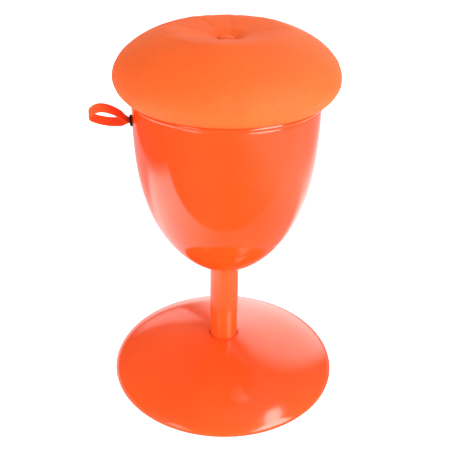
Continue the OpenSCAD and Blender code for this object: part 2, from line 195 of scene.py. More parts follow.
def finished(piece, body, slot, material, *replaced):
    piece.data.materials.clear()
    piece.data.materials.append(material)
    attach(piece, body)
    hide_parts(*replaced)
    return piece


def apply_modifiers(piece):
    depsgraph = bpy.context.evaluated_depsgraph_get()
    mesh = bpy.data.meshes.new_from_object(piece.evaluated_get(depsgraph))
    piece.modifiers.clear()
    old = piece.data
    piece.data = mesh
    bpy.data.meshes.remove(old)


# Material helpers --------------------------------------------------------------------


class Finish:
    """A node material: its Principled shader and short ways to add nodes to it."""

    def __init__(self, name, **sockets):
        self.material = bpy.data.materials.new(name)
        self.material.use_nodes = True
        self.tree = self.material.node_tree
        self.shader = self.tree.nodes["Principled BSDF"]
        for socket, value in sockets.items():
            self.shader.inputs[socket.replace("_", " ")].default_value = value
        self.place = self.add("ShaderNodeTexCoord").outputs["Object"]

    def add(self, kind, **settings):
        node = self.tree.nodes.new(kind)
        for key, value in settings.items():
            setattr(node, key, value)
        return node

    def join(self, source, target):
        if isinstance(source, (int, float, tuple)):
            target.default_value = source
        else:
            self.tree.links.new(source, target)

    def scaled(self, x, y, z, source=None):
        node = self.add("ShaderNodeMapping")
        self.join(source or self.place, node.inputs["Vector"])
        node.inputs["Scale"].default_value = (x, y, z)
        return node.outputs["Vector"]

    def noise(self, scale, detail=3, roughness=0.5, source=None, distortion=0.0):
        node = self.add("ShaderNodeTexNoise")
        self.join(source or self.place, node.inputs["Vector"])
        node.inputs["Scale"].default_value = scale
        node.inputs["Detail"].default_value = detail
        node.inputs["Roughness"].default_value = roughness
        node.inputs["Distortion"].default_value = distortion
        return node.outputs["Fac"]

    def cells(self, scale, feature="F1", source=None):
        node = self.add("ShaderNodeTexVoronoi", feature=feature)
        self.join(source or self.place, node.inputs["Vector"])
        node.inputs["Scale"].default_value = scale
        return node.outputs["Distance"]

    def maths(self, operation, a, b=0.0, c=0.0):
        node = self.add("ShaderNodeMath", operation=operation)
        for value, socket in zip((a, b, c), node.inputs):
            self.join(value, socket)
        return node.outputs["Value"]

    def split(self, source=None):
        node = self.add("ShaderNodeSeparateXYZ")
        self.join(source or self.place, node.inputs["Vector"])
        return node.outputs["X"], node.outputs["Y"], node.outputs["Z"]

    def ranged(self, source, low, high, to_low=0.0, to_high=1.0):
        node = self.add("ShaderNodeMapRange", interpolation_type="SMOOTHSTEP")
        self.join(source, node.inputs["Value"])
        for name, value in zip(("From Min", "From Max", "To Min", "To Max"), (low, high, to_low, to_high)):
            self.join(value, node.inputs[name])
        return node.outputs["Result"]

    def blend(self, factor, a, b):
        node = self.add("ShaderNodeMix", data_type="RGBA")
        self.join(factor, node.inputs["Factor"])
        self.join(a, node.inputs["A"])
        self.join(b, node.inputs["B"])
        return node.outputs["Result"]

    def colour(self, source):
        self.join(source, self.shader.inputs["Base Color"])

    def rough(self, source):
        self.join(source, self.shader.inputs["Roughness"])

    def relief(self, *layers):
        """Bumps from (height, strength, depth in metres) layers, the coarsest first."""
        normal = None
        for height, strength, depth in layers:
            node = self.add("ShaderNodeBump")
            node.inputs["Strength"].default_value = strength
            node.inputs["Distance"].default_value = depth
            self.join(height, node.inputs["Height"])
            if normal:
                self.join(normal, node.inputs["Normal"])
            normal = node.outputs["Normal"]
        self.join(normal, self.shader.inputs["Normal"])


def srgb(red, green, blue):
    """A linear colour from 0-255 sRGB values."""
    def linear(v):
        v /= 255
        return v / 12.92 if v <= 0.04045 else ((v + 0.055) / 1.055) ** 2.4
    return (linear(red), linear(green), linear(blue), 1.0)


def shell_finish():
    """Glossy orange lacquer on the moulded bowl, its cap and the rim bead."""
    f = Finish("orange_lacquer", Coat_Weight=0.6, Coat_Roughness=0.04, Coat_IOR=1.5, IOR=1.48)
    patches = f.noise(9, 3)
    f.colour(f.blend(f.ranged(patches, 0.3, 0.7), srgb(255, 78, 22), srgb(253, 72, 18)))
    haze = f.noise(26, 4)
    scuffs = f.noise(1, 5, 0.6, f.scaled(240, 240, 14), 0.6)
    f.rough(f.maths("ADD", f.ranged(haze, 0.35, 0.75, 0.10, 0.15), f.ranged(scuffs, 0.64, 0.74, 0.0, 0.10)))
    peel = f.noise(260, 2, 0.4)
    waves = f.noise(34, 1, 0.3)
    f.relief((waves, 0.25, 0.0006), (peel, 0.10, 0.00012))
    return f.material


def paint_finish():
    """Powder-coated steel of the base and column, a little softer than the bowl."""
    f = Finish("orange_powder_coat", Coat_Weight=0.45, Coat_Roughness=0.09, Coat_IOR=1.5, IOR=1.48)
    height = f.split()[2]
    patches = f.noise(7, 3)
    fresh = f.blend(f.ranged(patches, 0.3, 0.7), srgb(255, 90, 32), srgb(252, 82, 26))
    near_floor = f.ranged(height, 0.0012, 0.0048, 1.0, 0.0)
    chips = f.maths("MULTIPLY", near_floor, f.ranged(f.noise(330, 4, 0.65), 0.56, 0.66))
    f.colour(f.blend(f.maths("MULTIPLY", chips, 0.7), fresh, srgb(196, 70, 34)))
    haze = f.noise(18, 4)
    marks = f.noise(1, 5, 0.6, f.scaled(60, 60, 60), 1.2)
    rough = f.maths("ADD", f.ranged(haze, 0.35, 0.75, 0.15, 0.21), f.ranged(marks, 0.62, 0.72, 0.0, 0.07))
    f.rough(f.maths("ADD", rough, f.maths("MULTIPLY", chips, 0.25)))
    peel = f.noise(420, 2, 0.45)
    f.relief((f.noise(60, 1, 0.3), 0.22, 0.0004), (peel, 0.14, 0.00012))
    return f.material


def fabric_finish(name, sheen, shade_ring_start):
    """Fine wool-blend weave. Its yarns follow the cloth attribute, metres along warp and weft.

    It is darkened to deep red out to the given radius from its middle, fading over the next 8.5 mm: painted
    shade for the shadow round the button's edge.
    """
    f = Finish(name, Roughness=0.62, IOR=1.45, Sheen_Weight=sheen, Sheen_Roughness=0.42)
    f.shader.inputs["Sheen Tint"].default_value = srgb(255, 176, 104)
    f.shader.inputs["Specular IOR Level"].default_value = 0.4
    cloth = f.add("ShaderNodeAttribute", attribute_name="cloth").outputs["Vector"]
    u, v = f.split(cloth)[:2]
    wobble = f.maths("MULTIPLY", f.noise(160, 2), 0.0011)
    yarn = TURN / 0.0021
    warp = f.maths("SINE", f.maths("MULTIPLY", f.maths("ADD", u, wobble), yarn))
    weft = f.maths("SINE", f.maths("MULTIPLY", f.maths("ADD", v, wobble), yarn))
    weave = f.maths("MULTIPLY_ADD", warp, weft, 0.0)
    knots = f.ranged(weave, -0.9, 0.9)
    fleck = f.noise(900, 2, 0.6)
    melange = f.noise(640, 2, 0.6)
    broad = f.noise(11, 3, 0.55)
    deep = srgb(234, 76, 14)
    plain = srgb(247, 90, 18)
    bright = srgb(255, 110, 32)
    base = f.blend(f.ranged(melange, 0.34, 0.66), plain, bright)
    base = f.blend(f.maths("MULTIPLY", f.ranged(fleck, 0.42, 0.62), 0.35), base, bright)
    base = f.blend(f.maths("MULTIPLY", f.ranged(knots, 0.0, 0.6, 1.0, 0.0), 0.55), base, deep)
    base = f.blend(f.maths("MULTIPLY", f.ranged(broad, 0.35, 0.75), 0.22), base, deep)
    reach = f.maths("SQRT", f.maths("ADD", f.maths("MULTIPLY", u, u), f.maths("MULTIPLY", v, v)))
    # painted shade: a deep red ring round the button, standing for the shadow at the button's edge
    painted_shade_ring = f.ranged(reach, shade_ring_start, shade_ring_start + 0.0085, 0.95, 0.0)
    f.colour(f.blend(painted_shade_ring, base, srgb(150, 30, 8)))
    f.relief((f.noise(48, 2), 0.25, 0.0006), (knots, 0.55, 0.00032), (fleck, 0.5, 0.00030))
    return f.material


def webbing_finish():
    """Woven tape: twill ribs across it and a firm selvedge along both edges."""
    f = Finish("webbing_weave", Roughness=0.8, IOR=1.45, Sheen_Weight=0.12, Sheen_Roughness=0.4)
    f.shader.inputs["Specular IOR Level"].default_value = 0.3
    cloth = f.add("ShaderNodeAttribute", attribute_name="cloth").outputs["Vector"]
    u, v, w = f.split(cloth)
    edge = f.ranged(f.maths("ABSOLUTE", w), 0.80, 0.90)
    pick = TURN / 0.0013
    zigzag = f.maths("FRACT", f.maths("MULTIPLY", u, 1 / 0.005))
    herring = f.maths("ABSOLUTE", f.maths("SUBTRACT", zigzag, 0.5))
    slanted = f.maths("ADD", v, f.maths("MULTIPLY", herring, 0.0032))
    ribs = f.maths("SINE", f.maths("MULTIPLY", slanted, pick))
    rib = f.ranged(ribs, -1.0, 1.0)
    cords = f.ranged(f.maths("SINE", f.maths("MULTIPLY", u, TURN / 0.0010)), -1.0, 1.0)
    fibre = f.noise(1500, 2, 0.6)
    body = f.blend(rib, srgb(240, 72, 20), srgb(255, 104, 36))
    body = f.blend(f.maths("MULTIPLY", cords, 0.2), body, srgb(240, 66, 20))
    selvedge = f.blend(rib, srgb(246, 84, 28), srgb(255, 112, 48))
    tone = f.blend(edge, body, selvedge)
    f.colour(f.blend(f.maths("MULTIPLY", f.ranged(fibre, 0.4, 0.65), 0.25), tone, srgb(255, 104, 48)))
    f.relief((rib, 0.6, 0.00028), (cords, 0.35, 0.00014), (fibre, 0.4, 0.00012))
    return f.material


def black_finish(name, rough_low, rough_high, grain, depth, tone=(30, 30, 32)):
    """Moulded black rubber or nylon with a fine grain and a dusty bloom."""
    f = Finish(name, IOR=1.5)
    dust = f.ranged(f.noise(40, 4, 0.6), 0.45, 0.8)
    dark = srgb(*(v * 0.6 for v in tone))
    f.colour(f.blend(dust, dark, srgb(*tone)))
    f.rough(f.ranged(f.noise(70, 3), 0.3, 0.7, rough_low, rough_high))
    f.relief((f.cells(grain), 0.35, depth), (f.noise(grain * 2.3, 2), 0.3, depth * 0.6))
    return f.material


def metal_finish(name, light, dark, rough_low, rough_high, stretch, strength):
    """Bare or plated steel. stretch sets which way the tool marks run."""
    f = Finish(name, Metallic=1.0)
    marks = f.noise(1, 4, 0.6, f.scaled(*stretch))
    stains = f.noise(55, 4, 0.6)
    f.colour(f.blend(f.ranged(stains, 0.35, 0.75), srgb(*light), srgb(*dark)))
    rough = f.ranged(stains, 0.3, 0.8, rough_low, rough_high)
    f.rough(f.maths("ADD", rough, f.ranged(marks, 0.3, 0.7, 0.0, 0.08)))
    f.relief((marks, strength, 0.00012), (f.noise(1600, 2), 0.15, 0.00005))
    return f.material


def plywood_finish():
    """Birch plywood: plies on the edge, grain on the faces."""
    f = Finish("birch_plywood", IOR=1.45)
    x, y, z = f.split()
    plies = f.maths("SINE", f.maths("MULTIPLY", z, TURN / 0.0028))
    grain = f.noise(1, 5, 0.6, f.scaled(9, 150, 9), 0.8)
    tone = f.blend(f.ranged(grain, 0.3, 0.7), srgb(222, 184, 134), srgb(196, 150, 98))
    edge = f.blend(f.ranged(plies, -0.2, 0.2), srgb(150, 106, 66), srgb(206, 164, 114))
    reach = f.maths("SQRT", f.maths("ADD", f.maths("MULTIPLY", x, x), f.maths("MULTIPLY", y, y)))
    f.colour(f.blend(f.ranged(reach, BOARD_R - 0.0012, BOARD_R - 0.0006), tone, edge))
    f.rough(f.ranged(grain, 0.3, 0.7, 0.55, 0.75))
    f.relief((grain, 0.4, 0.0003), (f.noise(700, 3), 0.3, 0.0001))
    return f.material


def foam_finish():
    """Open-cell seat foam."""
    f = Finish("seat_foam", Roughness=0.95, IOR=1.4)
    f.shader.inputs["Specular IOR Level"].default_value = 0.15
    pores = f.cells(520)
    f.colour(f.blend(f.ranged(pores, 0.1, 0.6), srgb(196, 178, 112), srgb(238, 226, 176)))
    f.relief((pores, 0.8, 0.0009), (f.noise(1300, 3), 0.5, 0.0003))
    return f.material


SHELL = shell_finish()
PAINT = paint_finish()
FABRIC = fabric_finish("seat_weave", 0.08, BUTTON_R)
BUTTON_FABRIC = fabric_finish("button_weave", 0.08, -0.01)
WEBBING = webbing_finish()
RUBBER = black_finish("black_rubber_grain", 0.55, 0.75, 900, 0.00012)
NYLON = black_finish("black_nylon_grain", 0.34, 0.5, 1600, 0.00006, (24, 24, 26))
EYELET = black_finish("black_eyelet", 0.22, 0.34, 2200, 0.00003, (16, 16, 18))
ZINC = metal_finish("zinc_steel", (196, 198, 202), (150, 153, 158), 0.24, 0.36, (120, 120, 900), 0.25)
CHROME = metal_finish("hard_chrome_rod", (224, 226, 230), (198, 201, 206), 0.07, 0.13, (500, 500, 40), 0.08)
BLACK_STEEL = metal_finish("black_oxide_steel", (74, 77, 82), (46, 48, 52), 0.38, 0.52, (90, 90, 300), 0.3)
PLYWOOD = plywood_finish()
FOAM = foam_finish()

CARRIED = {
    "ballast_plate": BLACK_STEEL, "floor_pad": RUBBER, "base_hub": BLACK_STEEL, "hub_bolts": ZINC,
    "hub_nuts": ZINC, "guide_bush": NYLON, "bearing_seat": ZINC, "piston_rod": CHROME,
    "piston": NYLON, "rod_clip": BLACK_STEEL, "bearing_balls": CHROME, "bearing_cap": ZINC,
    "gas_cylinder": BLACK_STEEL, "rod_gland": ZINC, "valve_button": ZINC, "taper_socket": BLACK_STEEL,
    "mechanism_bracket": BLACK_STEEL, "release_lever": ZINC, "strap_pin": ZINC, "lever_pin": ZINC,
    "lever_pin_clip": BLACK_STEEL, "seam_ring": NYLON, "cap_bush": NYLON, "bowl_screws": ZINC,
    "seat_board": PLYWOOD, "tee_nuts": ZINC, "plate_bolts": ZINC, "foam_core": FOAM,
    "button_tie": NYLON, "tie_anchor": ZINC,
}
for node, material in CARRIED.items():
    for index in range(len(NODES[node].material_slots)):
        NODES[node].material_slots[index].material = material

# Outlines ------------------------------------------------------------------------------


def bowl_radius(z, inset=0.0):
    t = (RIM_Z - z) / (BOWL_H - inset)
    return (BOWL_R - inset) * max(1 - t ** 3, 0) ** (1 / 1.6)


def dome_height(r, radius):
    return DOME_LIP + DOME_H * max(1 - r / radius, 0) ** DOME_POWER


def crown_height(r):
    c = min(r / CUSHION_R, 1) ** (1 / CROWN_POWER)
    return WAIST_Z + CROWN_H * math.sqrt(max(1 - c * c, 0)) ** CROWN_POWER


def dimple(r):
    return DIMPLE_DEPTH * max(1 - max(r, DIMPLE_FLOOR) / DIMPLE_REACH, 0) ** DIMPLE_POWER


def seat_height(r):
    puff = PUFF_H * math.exp(-((r - PUFF_R) / 0.013) ** 2)
    return crown_height(r) - dimple(r) + puff


def steps(low, high, count, power=1.0):
    return [low + (high - low) * (i / count) ** power for i in range(count + 1)]


# Bowl ----------------------------------------------------------------------------------


def bowl_wall(low, high, count, lip_low, lip_high):
    """Outline of a band of the bowl's wall, with its two edges eased by lip_low and lip_high."""
    outer = [(bowl_radius(z), z) for z in steps(low + lip_low, high - lip_high, count)]
    inner = [(bowl_radius(z, WALL), z) for z in steps(high - lip_high, low + lip_low, count)]
    top = [(bowl_radius(high) - lip_high * 0.35, high - lip_high * 0.3),
           (bowl_radius(high) - lip_high, high)]
    bottom = [(bowl_radius(low, WALL) + lip_low, low), (bowl_radius(low) - lip_low, low),
              (bowl_radius(low) - lip_low * 0.35, low + lip_low * 0.3)]
    return outer, inner, top, bottom


def add_bowl():
    outer, inner, top, bottom = bowl_wall(SEAM_Z, RIM_Z, 64, 0.0005, 0.0006)
    flange_r = 0.128
    flange_z = RIM_Z - 0.0032
    inner = [point for point in inner if point[1] < flange_z]
    flange = [(flange_r, RIM_Z), (flange_r, flange_z), (bowl_radius(flange_z, WALL), flange_z)]
    shell = add_object("bowl", revolve(outer + top + flange + inner + bottom, 192))
    cutter = add_object("cutter", revolve(
        [(0, -0.02), (GROMMET_R - 0.0014, -0.02), (GROMMET_R - 0.0014, 0.02), (0, 0.02)], 64))
    cutter.matrix_world = Matrix.Translation((-BOWL_R, 0, GROMMET_Z)) @ Matrix.Rotation(math.pi / 2, 4, "Y")
    hole = shell.modifiers.new("hole", "BOOLEAN")
    hole.object = cutter
    hole.solver = "EXACT"
    apply_modifiers(shell)
    bpy.data.objects.remove(cutter)
    finished(shell, "seat", "orange_shell", SHELL, "bowl_shell")

    seam_gap = 0.00025
    low = CAP_LOW
    outer, inner, top, bottom = bowl_wall(low, SEAM_Z - seam_gap, 40, 0.0008, 0.0005)
    hole_r = COLUMN_R + 0.0026
    inner = [point for point in inner if point[0] > hole_r]
    bottom = [(hole_r, inner[-1][1]), (hole_r, low + 0.0004), (hole_r + 0.0004, low)] + bottom[2:]
    cap = add_object("bowl_cap_moulding", revolve(outer + top + inner + bottom, 192))
    finished(cap, "seat", "orange_shell", SHELL, "bowl_cap")


add_bowl()


def add_rim_bead():
    """Round bead pushed on to the bowl's rim. Its ends meet in a butt joint, one a little higher."""
    joint = math.radians(260.8)
    gap = 0.0006 / BOWL_R
    segments = 360
    outline = []
    for i in range(25):
        a = math.radians(-58 + 116 * i / 24)
        outline.append((0.1444 + 0.0052 * math.cos(a), 0.5152 + 0.0052 * math.sin(a)))
    outline += [(0.14655, 0.51945), (0.14640, 0.51120), (0.14655, 0.51085)]
    bm = revolve(outline, segments, joint + gap / 2, TURN - gap)
    for vert in bm.verts:
        angle = (math.atan2(vert.co.y, vert.co.x) - joint) % TURN
        near_end = max(0.0, 1 - (TURN - angle) / 0.35)
        end = min(angle, TURN - angle) - gap / 2
        tuck = max(0.0, 1 - end * BOWL_R / 0.0007) ** 2 * 0.0006
        flat = Vector((vert.co.x, vert.co.y, 0))
        vert.co -= flat.normalized() * tuck * (1 if flat.length > 0.1475 else 0)
        vert.co.z += 0.00045 * near_end ** 2
    bead = add_object("rim_bead", bm, 50)
    finished(bead, "seat", "orange_trim", SHELL, "rim_trim")


add_rim_bead()

# Base and column -----------------------------------------------------------------------


def add_base():
    hole_r = COLUMN_R + 0.0009
    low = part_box("base_dome")[0].z
    outer = [(r, dome_height(r, BASE_R)) for r in steps(BASE_R, hole_r + 0.0007, 90, 1.7)]
    lip = [(BASE_R - 0.0007, low), (BASE_R - 0.0002, low + 0.0002), (BASE_R, low + 0.0007)]
    mouth_z = dome_height(hole_r, BASE_R)
    mouth = [(hole_r + 0.0002, mouth_z - 0.0002), (hole_r, mouth_z - 0.0007)]
    inside = BASE_R - DOME_WALL
    inner = [(r, dome_height(r, inside) - DOME_WALL) for r in steps(hole_r, inside, 60, 0.6)]
    back = [(inside, low + 0.0004), (inside + 0.0004, low)]
    dome = add_object("base", revolve(lip + outer + mouth + inner + back, 256))
    finished(dome, "base", "orange_paint", PAINT, "base_dome")

    bore = COLUMN_R - 0.002
    tube = rounded([
        (0.0041, COLUMN_LOW, 0.0002), (COLUMN_R, COLUMN_LOW, 0.0008), (COLUMN_R, COLUMN_HIGH, 0.0005),
        (bore, COLUMN_HIGH, 0.0003), (bore, COLUMN_LOW + 0.004, 0.001),
        (0.0041, COLUMN_LOW + 0.004, 0.0002)])
    column = add_object("column", revolve(tube, 96))
    finished(column, "base", "orange_paint", PAINT, "column_tube")


add_base()

# Cushion -------------------------------------------------------------------------------

SMALLER = 0.0022          # the pad starts this much inside its finished skin
POINT_CAP = 0.006         # the furthest that the simulation may move a point
PRESSURE = 40
STIFFNESS = 15
BENDING = 0.5
LAST_FRAME = 20
FOLD_HALF = 0.0035        # half the width held down along each fold line
FOLD_REACH = 0.030        # how far the held lines run out from the button


def skin_profile(inset):
    """The cushion's skin as (radius, height) points, from its hem under the rim to its middle."""
    radius = CUSHION_R - inset
    points = [(CUSHION_R - 0.0220, HEM_Z + 0.0002), (CUSHION_R - 0.0190, HEM_Z)]
    for i in range(7, -1, -1):
        a = math.radians(3 * i)
        points.append((
            radius * math.cos(a) ** UNDER_POWER,
            max(WAIST_Z - (UNDER_H - inset) * math.sin(a) ** UNDER_POWER, HEM_Z + 0.0008)))
    for i in range(1, 27):
        r = radius * math.cos(math.radians(2.1 * i)) ** CROWN_POWER
        points.append((r, seat_height(r * CUSHION_R / radius) - inset))
    for r in steps(points[-1][0] - 0.003, DIMPLE_FLOOR, 30, 0.9):
        points.append((r, seat_height(r) - inset))
    points += [(0.009, points[-1][1]), (0.005, points[-1][1])]
    return points


def skin_mesh(inset, segments):
    """The skin as rings of vertices with the cloth attribute: metres along warp and weft."""
    profile = skin_profile(inset)
    along = [0.0]
    for one, two in zip(profile[::-1], profile[-2::-1]):
        along.append(along[-1] + math.dist(one, two))
    along = [a + profile[-1][0] for a in along][::-1]
    bm = bmesh.new()
    layer = bm.verts.layers.float_vector.new("cloth")
    rings = []
    for (r, z), run in zip(profile, along):
        ring = []
        for i in range(segments):
            a = TURN * i / segments
            vert = bm.verts.new((r * math.cos(a), r * math.sin(a), z))
            vert[layer] = (run * math.cos(a), run * math.sin(a), 0)
            ring.append(vert)
        rings.append(ring)
    for one, two in zip(rings, rings[1:]):
        for i in range(segments):
            k = (i + 1) % segments
            bm.faces.new((one[i], one[k], two[k], two[i]))
    return bm, rings


def fold_lines():
    """The soft folds that run out from the button, as (direction, width, depth)."""
    dice = random.Random(7)
    count = 9
    lobes = []
    for i in range(count):
        centre = TURN * (i + dice.uniform(-0.28, 0.28)) / count
        lobes.append((centre, dice.uniform(0.10, 0.2), dice.uniform(0.0012, 0.0028)))
    return lobes


LOBES = fold_lines()


def turn_between(angle, centre):
    return (angle - centre + math.pi) % TURN - math.pi


def on_fold_line(p, r):
    """Whether the button's tie keeps this point of the pad from rising."""
    angle = math.atan2(p.y, p.x)
    near = any(abs(turn_between(angle, lobe[0])) * r < FOLD_HALF for lobe in LOBES)
    return near and r < BUTTON_R + FOLD_REACH


def closed_pad():
    """The pad that is inflated: the skin closed below and at the button, remeshed evenly."""
    bm, rings = skin_mesh(SMALLER, 96)
    bm.faces.new(rings[0])
    bm.faces.new(list(reversed(rings[-1])))
    pad = add_object("pad", bm)
    remesh = pad.modifiers.new("remesh", "REMESH")
    remesh.mode = "VOXEL"
    remesh.voxel_size = 0.005
    apply_modifiers(pad)
    return pad


def inflated_moves():
    """Where the cloth simulation takes each point of the pad: (start, capped move) pairs."""
    pad = closed_pad()
    starts = [vert.co.copy() for vert in pad.data.vertices]
    held = pad.vertex_groups.new(name="held")
    for i, p in enumerate(starts):
        r = math.hypot(p.x, p.y)
        tufted = p.z > WAIST_Z and (r < DIMPLE_FLOOR + 0.003 or on_fold_line(p, r))
        if p.z < HEM_Z + 0.004 or tufted:
            held.add([i], 1.0, "REPLACE")
    cloth = pad.modifiers.new("cloth", "CLOTH")
    cloth.settings.vertex_group_mass = "held"
    cloth.settings.use_pressure = True
    cloth.settings.uniform_pressure_force = PRESSURE
    cloth.settings.effector_weights.gravity = 0
    cloth.settings.tension_stiffness = STIFFNESS
    cloth.settings.compression_stiffness = STIFFNESS
    cloth.settings.bending_stiffness = BENDING
    scene = bpy.context.scene
    for number in range(1, LAST_FRAME + 1):
        scene.frame_set(number)
    ends = pad.evaluated_get(bpy.context.evaluated_depsgraph_get()).data.vertices
    moves = []
    for start, end in zip(starts, ends):
        move = end.co - start
        if move.length > POINT_CAP:
            move = move.normalized() * POINT_CAP
        moves.append((start, move))
    scene.frame_set(1)
    bpy.data.objects.remove(pad)
    return moves


def pleat(r, angle):
    """Depth added to the soft folds that run out from the button."""
    if r < BUTTON_R - 0.001:
        return 0.0
    fade = max(0.0, 1 - (r - BUTTON_R) / 0.040) ** 1.6 * min(1.0, (r - BUTTON_R + 0.001) / 0.004)
    total = 0.0
    for centre, width, depth in LOBES:
        total += depth * math.exp(-(turn_between(angle, centre) / width) ** 2)
    return fade * total


def add_cushion():
    moves = inflated_moves()
    bm, rings = skin_mesh(SMALLER if moves else 0.0, 160)
    if moves:
        tree = kdtree.KDTree(len(moves))
        for i, (start, move) in enumerate(moves):
            tree.insert(start, i)
        tree.balance()
        for ring in rings:
            for vert in ring:
                total = Vector()
                weight = 0.0
                for near, index, distance in tree.find_n(vert.co, 6):
                    w = 1 / (distance + 0.001) ** 2
                    total += moves[index][1] * w
                    weight += w
                vert.co += total / weight
    # each ring's mean goes back to the fitted profile, so the simulation gives only the unevenness
    worst = 0.0
    for ring, (r, z) in zip(rings, skin_profile(0.0)):
        mean_r = sum(math.hypot(v.co.x, v.co.y) for v in ring) / len(ring)
        mean_z = sum(v.co.z for v in ring) / len(ring)
        worst = max(worst, math.hypot(mean_r - r, mean_z - z))
        for vert in ring:
            flat = Vector((vert.co.x, vert.co.y, 0)).normalized()
            vert.co += flat * (r - mean_r) + Vector((0, 0, z - mean_z))
    print("cushion: outline correction", round(worst * 1000, 2), "mm")
    for ring in rings:
        for vert in ring:
            r = math.hypot(vert.co.x, vert.co.y)
            if vert.co.z > WAIST_Z and r < BUTTON_R + 0.042:
                vert.co.z -= pleat(r, math.atan2(vert.co.y, vert.co.x))
    bmesh.ops.holes_fill(bm, edges=[e for e in bm.edges if e.is_boundary and e.verts[0] in set(rings[-1])])
    cushion = add_object("cushion", bm, 80)
    thick = cushion.modifiers.new("thickness", "SOLIDIFY")
    thick.thickness = 0.002
    thick.offset = -1
    fine = cushion.modifiers.new("fine", "SUBSURF")
    fine.levels = 1
    fine.render_levels = 1
    apply_modifiers(cushion)
    finished(cushion, "seat", "seat_fabric", FABRIC, "cushion_cover")


add_cushion()


def add_button():
    """Covered button: domed top, rolled edge and a flat underside with its gathered cloth."""
    bm = bmesh.new()
    layer = bm.verts.layers.float_vector.new("cloth")
    height = BUTTON_HIGH - BUTTON_LOW
    profile = []
    for i in range(13):
        a = math.pi / 2 * i / 12
        dome_z = BUTTON_LOW + 0.0022 + (height - 0.0022) * math.cos(a) ** 0.75
        profile.append((BUTTON_R * math.sin(a) ** 0.9, dome_z))
    profile += [(BUTTON_R - 0.0004, BUTTON_LOW + 0.0010), (BUTTON_R - 0.0014, BUTTON_LOW)]
    profile.append((0.004, BUTTON_LOW))
    segments = 72
    rings = []
    run = 0.0
    for k, (r, z) in enumerate(profile[1:]):
        run += math.dist(profile[k], profile[k + 1])
        ring = []
        for i in range(segments):
            a = TURN * i / segments
            ripple = 0.00012 * math.sin(13 * a + 0.7) * (1 if k > 10 else 0)
            vert = bm.verts.new(((r + ripple) * math.cos(a), (r + ripple) * math.sin(a), z))
            vert[layer] = (run * math.cos(a), run * math.sin(a), 0)
            ring.append(vert)
        rings.append(ring)
    top = bm.verts.new((0, 0, profile[0][1]))
    for i in range(segments):
        k = (i + 1) % segments
        bm.faces.new((top, rings[0][i], rings[0][k]))
        for one, two in zip(rings, rings[1:]):
            bm.faces.new((one[i], two[i], two[k], one[k]))
    bm.faces.new(rings[-1])
    button = add_object("button", bm, 60)
    finished(button, "seat", "seat_fabric", BUTTON_FABRIC, "seat_button")


add_button()

# Pull strap and its eyelet ---------------------------------------------------------------


def smooth_path(points, count):
    """Points spread evenly along a Catmull-Rom curve through points."""
    ends = [points[0] * 2 - points[1]] + points + [points[-1] * 2 - points[-2]]
    dense = []
    for a, b, c, d in zip(ends, ends[1:], ends[2:], ends[3:]):
        for i in range(24):
            t = i / 24
            dense.append(0.5 * (2 * b + (c - a) * t + (2 * a - 5 * b + 4 * c - d) * t * t
                                + (3 * b - a - 3 * c + d) * t ** 3))
    dense.append(points[-1])
    runs = [0.0]
    for one, two in zip(dense, dense[1:]):
        runs.append(runs[-1] + (two - one).length)
    path = []
    k = 0
    for i in range(count + 1):
        target = runs[-1] * i / count
        while k < len(runs) - 2 and runs[k + 1] < target:
            k += 1
        t = (target - runs[k]) / max(runs[k + 1] - runs[k], 1e-9)
        path.append(dense[k].lerp(dense[k + 1], min(t, 1)))
    return path, runs[-1]


TAPE_T = 0.0014
LOOP_ROOT = Vector((-0.1505, 0, 0.4842))


